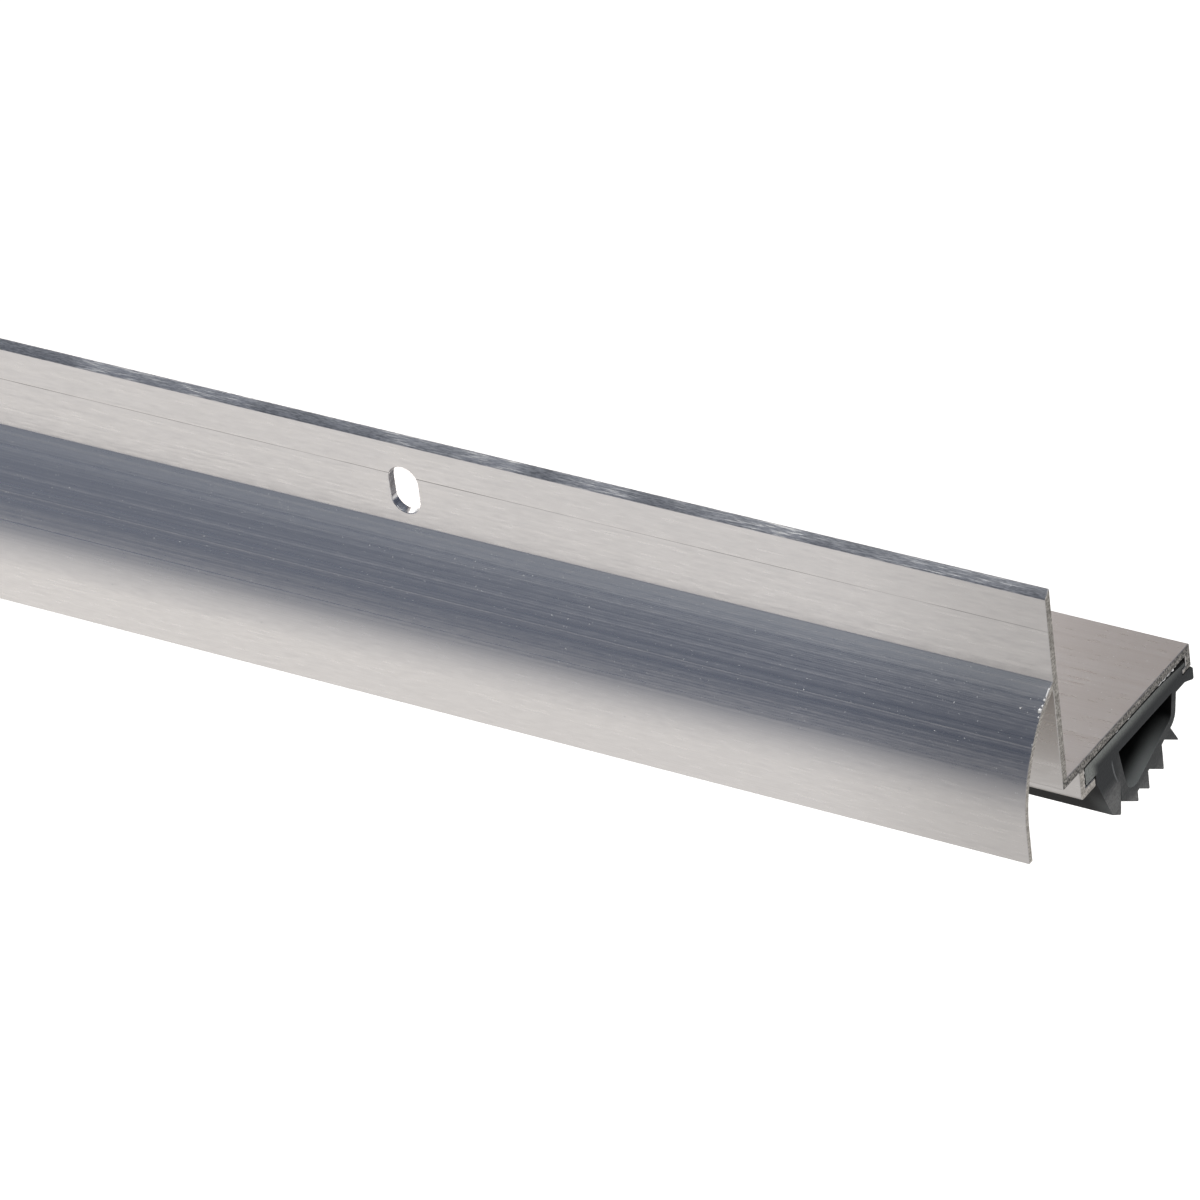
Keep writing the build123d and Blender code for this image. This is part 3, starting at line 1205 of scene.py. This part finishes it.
    def build(self) -> bpy.types.Object:
        """Builds the seal, dresses it and lets it stand for its CAD node.

        Returns:
            The piece.
        """
        stations = stations_between(self.rail.left, self.rail.right, self.end_chamfer, self.station_step)
        outer_points, outer_quads = carried(self.outline(), stations, self.end_chamfer)
        hollow_points, hollow_quads = carried(self.hollow(), stations, self.end_chamfer)
        vertices = np.concatenate([outer_points, hollow_points])
        quads = np.concatenate([outer_quads, hollow_quads + len(outer_points)])
        mesh = new_mesh("vinyl_seal_dressed", vertices, quads)
        slots = np.full(len(quads), SealSlot.EXTRUDED.value)
        slots[len(outer_quads) :] = SealSlot.HOLLOW.value
        mesh.polygons.foreach_set("material_index", slots)
        close_ends(mesh, SealSlot.SAWN.value)
        finishes = [ExtrudedVinyl(), SawnVinyl(), BULB_INSIDE_SHADED]
        piece = new_piece("seal_dressed", mesh, [finish.build() for finish in finishes])
        smooth(mesh)
        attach(piece, BODY)
        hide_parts("vinyl_seal")
        return piece


@dataclass(frozen=True)
class Crumb:
    """One crumb: its place on the section, its length and width, and how far in from the end it lies."""

    place: float
    length: float
    width: float
    inward: float = 0.0


@dataclass
class Swarf:
    """Crumbs of aluminium that the saw left round the rail's right end."""

    rail: Rail
    # On the cap and under the flange the place is a crumb's Y, and behind the hook it is its Z
    cap_crumbs: tuple[Crumb, ...] = (
        Crumb(-3.2, 1.7, 0.26),
        Crumb(-4.3, 0.45, 0.4),
        Crumb(-5.1, 0.5, 0.3),
        Crumb(-5.75, 0.9, 0.62),
        Crumb(-6.5, 0.35, 0.22, 0.1),
        Crumb(-5.97, 0.35, 0.3, 3.6),
        Crumb(-9.4, 0.3, 0.16),
    )
    flange_crumbs: tuple[Crumb, ...] = (
        Crumb(31.4, 1.5, 0.4),
        Crumb(32.8, 1.8, 0.42),
        Crumb(34.3, 1.6, 0.5),
        Crumb(35.7, 0.9, 0.62),
        Crumb(36.7, 0.6, 0.44, 0.1),
        Crumb(20.5, 0.6, 0.24),
        Crumb(16.5, 0.8, 0.2),
    )
    hook_crumbs: tuple[Crumb, ...] = (
        Crumb(-2.6, 1.3, 0.3),
        Crumb(-3.9, 1.0, 0.34),
        Crumb(-5.1, 0.8, 0.4),
    )
    # Shares of a crumb's width: how far its middle stands off the metal, hangs under the flange, and
    # lies inside the rail's end
    stand_off: float = 0.1
    hang: float = 0.35
    inside: float = 0.62
    # Where the crumbs under the flange and behind the hook point along X, Y and Z
    flange_run: Size = (0.0, 1.0, 0.05)
    hook_run: Size = (0.0, 0.1, 1.0)
    dent_depth: float = 0.22
    dent_turn: float = 1.7
    around: int = 10
    lengthwise: int = 9
    merge_distance: float = 1e-7

    def points(self, crumb: Crumb, centre: Sequence[float], run: Sequence[float], number: int) -> np.ndarray:
        """Works out one crumb's points.

        Formula: a ball's points, stretched to the length along its run, and dented by waves that
        differ with the crumb's number.

        Args:
            crumb: Its length and width.
            centre: Its middle, in millimetres.
            run: The direction of its length.
            number: Its number, which sets its dents.

        Returns:
            A grid of points, lengthwise by around.
        """
        ahead = Vector(run).normalized()
        side = ahead.orthogonal().normalized()
        third = ahead.cross(side)
        tall = np.linspace(0, np.pi, self.lengthwise)[:, None]
        wide = np.linspace(0, 2 * np.pi, self.around, endpoint=False)[None]
        waves = np.sin(3 * wide + number) * np.sin(2 * tall + self.dent_turn * number)
        far = np.cos(tall) * np.ones_like(wide) * crumb.length / 2
        out = np.sin(tall) * (1 + self.dent_depth * waves) * crumb.width / 2
        grid = far[..., None] * np.array(ahead) + (out * np.cos(wide))[..., None] * np.array(side)
        return grid + (out * np.sin(wide))[..., None] * np.array(third) + np.array(centre)

    def build(self) -> bpy.types.Object:
        """Builds all the crumbs as one piece.

        Returns:
            The piece.
        """
        rail = self.rail
        centre_y, centre_z = rail.cap_centre()
        # Each crumb with its middle's Y and Z, and the direction that it points in
        laid: list[tuple[Crumb, Point, Size]] = []
        for crumb in self.cap_crumbs:
            radius = rail.cap_radius + self.stand_off * crumb.width
            z = centre_z + math.sqrt(radius**2 - (crumb.place - centre_y) ** 2)
            laid.append((crumb, (crumb.place, z), (0, z - centre_z, centre_y - crumb.place)))
        for crumb in self.flange_crumbs:
            level = rail.under - self.hang * crumb.width
            laid.append((crumb, (crumb.place, level), self.flange_run))
        for crumb in self.hook_crumbs:
            y = rail.hook_back + self.stand_off * crumb.width
            laid.append((crumb, (y, crumb.place), self.hook_run))
        grids = []
        for number, (crumb, middle, run) in enumerate(laid):
            x = rail.right - self.inside * crumb.width - crumb.inward
            grids.append(self.points(crumb, (x, *middle), run, number))
        first = self.lengthwise * self.around * np.arange(len(laid))[:, None, None]
        quads = (ring_quads(self.lengthwise, self.around)[None] + first).reshape(-1, 4)
        mesh = new_mesh("saw_swarf", np.stack(grids).reshape(-1, 3) * MM, quads)
        turn_outwards(mesh, self.merge_distance)
        piece = new_piece("saw_swarf", mesh, [FRESH_SWARF_GLINT.build()])
        smooth(mesh)
        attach(piece, BODY)
        return piece


@dataclass(frozen=True)
class SoftBox:
    """One soft box: its middle and aim in metres, its size, how bright it looks, and its colour."""

    name: str
    place: tuple[float, float, float]
    aim: tuple[float, float, float]
    size: tuple[float, float]
    brightness: float
    colour: str

    def build(self) -> bpy.types.Object:
        """Hangs the lamp; its power is its brightness times pi times its area."""
        data = bpy.data.lights.new(self.name, "AREA")
        data.shape, data.size, data.size_y = "RECTANGLE", *self.size
        data.energy = self.brightness * math.pi * self.size[0] * self.size[1]
        data.color = linear(self.colour)[:3]
        lamp = new_object(self.name, data)
        lamp.location = self.place
        facing = Vector(self.aim) - Vector(self.place)
        lamp.rotation_mode = "QUATERNION"
        lamp.rotation_quaternion = facing.to_track_quat("-Z", "Y")
        lamp.visible_camera = False
        return lamp


@dataclass
class Studio:
    """The photographer's set: a white sweep below, a dim room above, and soft boxes.

    Its sizes and places are in metres, apart from the paper's fibres and the mirrored shadow's, which
    are in millimetres.
    """

    floor_drop: float = 0.26
    floor_half: float = 8.0
    # The metal mirrors the sweep white as far out as this, and then dimmer, by a power of the distance
    white_front: float = 0.4
    white_front_fall: float = 0.5
    # To the right, towards the shown end, the mirrored white falls away between these places
    white_right: Span = (0.0, 0.5)
    white_right_least: float = 0.68
    floor_colour: str = "#e4e3e1"
    fibre_colour: str = "#c8c8c8"
    fibre_size: Size = (4.0, 4.0, 4.0)
    fibre_span: Span = (0.3, 0.7)
    fibre_share: float = 0.05
    # The room that the metal mirrors is darker to the right, and paler overhead
    room_left: str = "#828a9a"
    room_right: str = "#4e5668"
    room_top: str = "#c4cfda"
    room_sides: Span = (-0.6, -0.36)
    room_rise: Span = (0.8, 1.0)
    room_fill: str = "#808080"
    # What the metal mirrors of the floor right under the rail, where its own shadow lies, and the places
    # where that fades at the right, in front and behind
    shadow_colour: str = "#a09c98"
    shadow_right: Span = (440.0, 340.0)
    shadow_front: Span = (-120.0, -40.0)
    shadow_rear: Span = (150.0, 60.0)
    camera_glow: float = 0.7
    # The camera: its lens in millimetres, its place from the rail's right inner corner, and its turns in
    # degrees
    lens: float = 246.558
    eye: tuple[float, float, float] = (0.57245, -0.91758, 0.75047)
    azimuth: float = 35.6877
    elevation: float = 33.1602
    roll: float = -7.5417
    boxes: tuple[SoftBox, ...] = (
        SoftBox("soft_box_overhead", (1.06, 0.0, 1.2), (0.457, 0.0, 0.0), (0.8, 0.8), 7.0, "#ffffff"),
        SoftBox("soft_box_back_left", (-0.9, 1.7, 1.2), (0.3, 0.0, 0.0), (2.4, 1.4), 0.43, "#ffefdc"),
        SoftBox("strip_behind", (0.02, 0.27, 0.2), (0.31, 0.03, 0.0), (0.34, 0.22), 2.2, "#ffffff"),
    )

    def camera(self) -> bpy.types.Object:
        """Sets the camera where the photograph was taken from.

        Returns:
            The camera.
        """
        data = bpy.data.cameras.new("camera")
        data.lens, data.sensor_width = self.lens, 36.0
        data.clip_start, data.clip_end = 0.01, 100.0
        camera = new_object("camera", data)
        turn, rise = math.radians(self.azimuth), math.radians(self.elevation)
        back = Vector((math.sin(turn) * math.cos(rise), -math.cos(turn) * math.cos(rise), math.sin(rise)))
        level = (-back).to_track_quat("-Z", "Y").to_matrix()
        rolled = level @ Matrix.Rotation(math.radians(self.roll), 3, "Z")
        eye = Vector((CAD_HIGH.x, 0, 0)) + Vector(self.eye)
        camera.matrix_world = Matrix.Translation(eye) @ rolled.to_4x4()
        bpy.context.scene.camera = camera
        return camera

    def world(self) -> None:
        """Makes the room: white to the camera, dim and bluish to the metal, and a plain fill light.

        Formula: the room's tone follows the X and the Z of the direction that is looked along.
        """
        world = bpy.data.worlds.new("room")
        world.use_nodes = True
        tree = world.node_tree
        tree.nodes.clear()
        seen = add_node(tree, "LightPath", output="Is Camera Ray")
        mirrored = add_node(tree, "LightPath", output="Is Glossy Ray")
        direction = add_node(tree, "TexCoord", output="Generated")
        layers = []
        tones = (("X", self.room_sides, self.room_right), ("Z", self.room_rise, self.room_top))
        for axis, span, tone in tones:
            share = add_node(tree, "SeparateXYZ", (direction,), output=axis)
            share = add_node(tree, "MapRange", (share, *span), interpolation_type="SMOOTHSTEP")
            layers.append((share, tone))
        dim = layered(tree, self.room_left, layers)
        fill = linear(self.room_fill)
        dim = add_node(tree, "Mix", {0: mirrored, 6: fill, 7: dim}, output=2, data_type="RGBA")
        dim = add_node(tree, "Background", (dim, 1.0))
        white = add_node(tree, "Background", (linear("#ffffff"), 1.0))
        add_node(tree, "OutputWorld", (add_node(tree, "MixShader", (seen, dim, white)),))
        bpy.context.scene.world = world

    def floor(self) -> bpy.types.Object:
        """Lays the white sweep below the rail, which keeps the rail's shadow.

        Returns:
            The floor.
        """
        level = CAD_LOW.z - self.floor_drop
        sides = [(-1, -1), (1, -1), (1, 1), (-1, 1)]
        corners = np.array([(x * self.floor_half, y * self.floor_half, level) for x, y in sides])
        mesh = new_mesh("sweep", corners, [(0, 1, 2, 3)])
        material, tree = new_material("paper_sweep_white")
        seen = add_node(tree, "LightPath", output="Is Camera Ray")
        glossy = add_node(tree, "LightPath", output="Is Glossy Ray")
        through = add_node(tree, "LightPath", output="Is Transmission Ray")
        mirrored = add_node(tree, "Math", (glossy, through), operation="MAXIMUM")
        outward = add_node(tree, "Math", (along(tree, "Y"), -1 / self.white_front), operation="MULTIPLY")
        outward = add_node(tree, "Math", (outward, 1.0), operation="MAXIMUM")
        front = add_node(tree, "Math", (outward, -self.white_front_fall), operation="POWER")
        side = add_node(tree, "MapRange", (along(tree, "X"), *self.white_right, 1.0, self.white_right_least))
        share = add_node(tree, "Math", (front, side), operation="MULTIPLY")
        under = fade(tree, "X", *self.shadow_right)
        for span in (self.shadow_front, self.shadow_rear):
            under = add_node(tree, "Math", (under, fade(tree, "Y", *span)), operation="MULTIPLY")
        image = layered(tree, self.room_left, ((share, "#ffffff"), (under, self.shadow_colour)))
        fibre = mottle(tree, self.fibre_size)
        fibre = add_node(tree, "MapRange", (fibre, *self.fibre_span, 0.0, self.fibre_share))
        paper = layered(tree, self.floor_colour, ((fibre, self.fibre_colour),))
        lit = add_node(tree, "BsdfDiffuse", (paper,))
        glow = add_node(tree, "Math", (seen, self.camera_glow), operation="MULTIPLY")
        glow = add_node(tree, "Emission", (linear("#ffffff"), glow))
        plain = add_node(tree, "AddShader", (lit, glow))
        image = add_node(tree, "Emission", (image, 1.0))
        add_node(tree, "OutputMaterial", (add_node(tree, "MixShader", (mirrored, plain, image)),))
        floor = new_piece("sweep", mesh, [material])
        return floor

    def build(self) -> None:
        """Sets up the camera, the room, the floor and the lamps."""
        self.camera()
        self.world()
        self.floor()
        for box in self.boxes:
            box.build()
        bpy.context.scene.view_settings.view_transform = "Standard"


def main() -> None:
    """Builds the pieces in order and reports each one."""
    logging.basicConfig(level=logging.INFO, format="%(name)s: %(message)s")
    Studio().build()
    log.info("studio: camera, room, sweep and soft boxes")
    rail = Rail()
    for piece in (rail.build(), Seal(rail).build(), Swarf(rail).build()):
        mesh = piece.data
        log.info("%s: %d faces, %d materials", piece.name, len(mesh.polygons), len(mesh.materials))


if __name__ == "__main__":
    main()
